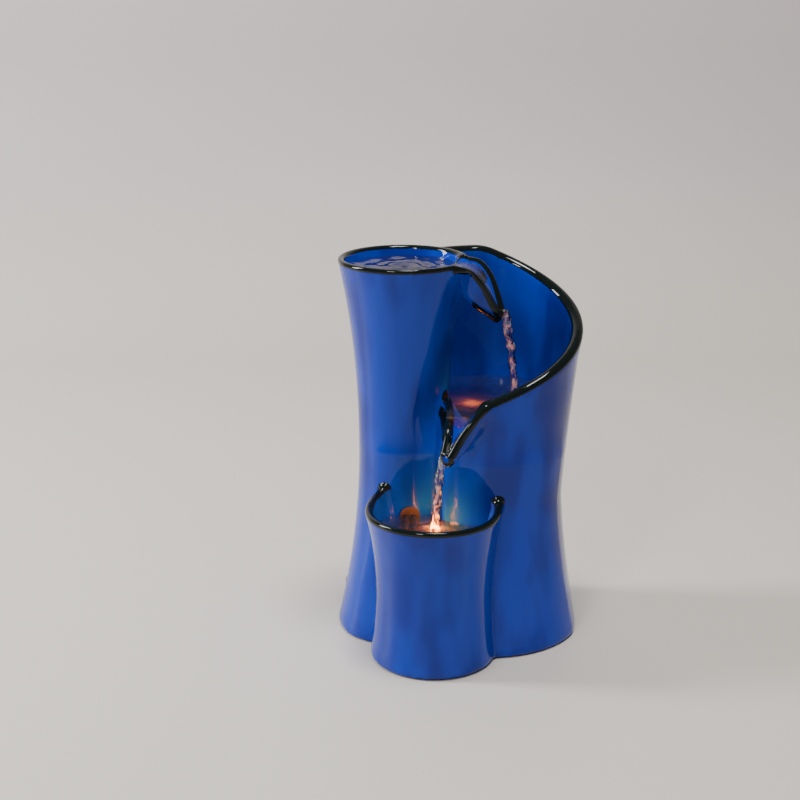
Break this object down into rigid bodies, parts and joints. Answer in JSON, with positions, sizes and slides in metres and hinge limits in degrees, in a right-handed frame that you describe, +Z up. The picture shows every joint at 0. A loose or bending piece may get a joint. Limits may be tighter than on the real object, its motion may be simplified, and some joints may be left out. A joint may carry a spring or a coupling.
{
  "type": "tabletop water fountain",
  "caption": "Glazed ceramic scroll fountain: tall tower, spiral wall and front cup; a small pump lifts water that falls over two spouts past underwater lamps.",
  "frame": {"origin": "middle of the base's bounding box, on the table, at the rubber feet's underside", "axes": "+Z up, +Y towards the back of the fountain, -Y towards the catch cup, +X towards the scroll wall"},
  "size_m": [0.1776, 0.182, 0.28],
  "materials": {
    "cobalt_glaze": "glossy",
    "bare_stoneware": "unglazed",
    "pad_rubber": "matte",
    "pump_plastic": "moulded",
    "white_plastic": "moulded",
    "ferrite": "sintered",
    "shaft_ceramic": "ground",
    "core_steel": "laminated",
    "coil_copper": "enamelled wire",
    "hose_silicone": "translucent",
    "clamp_steel": "spring steel",
    "lamp_board": "solder mask",
    "lamp_lens": "clear amber resin",
    "pin_brass": "plated",
    "lead_pvc": "extruded"
  },
  "bodies": {
    "fountain": {"tower_column": "cobalt_glaze", "scroll_wall": "cobalt_glaze", "catch_cup": "cobalt_glaze", "upper_basin_floor": "cobalt_glaze", "middle_basin_floor": "cobalt_glaze", "upper_spout": "cobalt_glaze", "middle_spout": "cobalt_glaze", "foot_slab": "bare_stoneware", "rubber_feet": "pad_rubber", "pump_housing": "pump_plastic", "pump_front_cover": "pump_plastic", "volute_cover": "white_plastic", "rotor_shaft": "shaft_ceramic", "shaft_bushings": "pad_rubber", "stator_core": "core_steel", "stator_coil": "coil_copper", "pump_rear_cap": "pump_plastic", "suction_feet": "pad_rubber", "riser_hose": "hose_silicone", "hose_clamp": "clamp_steel", "hose_grommet": "pad_rubber", "lead_grommet": "pad_rubber", "side_bush": "pad_rubber", "outlet_fitting": "pump_plastic", "fitting_gasket": "pad_rubber", "fitting_nut": "pump_plastic", "cup_lamp_case": "white_plastic", "cup_lamp_board": "lamp_board", "cup_lamp_lens": "lamp_lens", "cup_lamp_bracket": "pump_plastic", "pool_lamp_case": "white_plastic", "pool_lamp_board": "lamp_board", "pool_lamp_lens": "lamp_lens", "floor_gland": "pad_rubber", "power_inlet": "pump_plastic", "inlet_pin": "pin_brass", "inlet_gasket": "pad_rubber", "inlet_nut": "clamp_steel", "splice_block": "white_plastic", "pump_lead": "lead_pvc", "cup_lamp_lead": "lead_pvc", "pool_lamp_lead": "lead_pvc", "inlet_lead": "lead_pvc"},
    "rotor": {"impeller_wheel": "white_plastic", "rotor_magnet": "ferrite"},
    "slider": {"flow_slider": "white_plastic"}
  },
  "joints": [
    {"name": "rotor_spin", "type": "hinge", "parent": "fountain", "child": "rotor", "pos_m": [-0.0308, -0.05251, 0.024], "axis": [0, 1, 0], "continuous": true},
    {"name": "flow_slide", "type": "slide", "parent": "fountain", "child": "slider", "axis": [1, 0, 0], "range_m": [0, 0.008]}
  ]
}
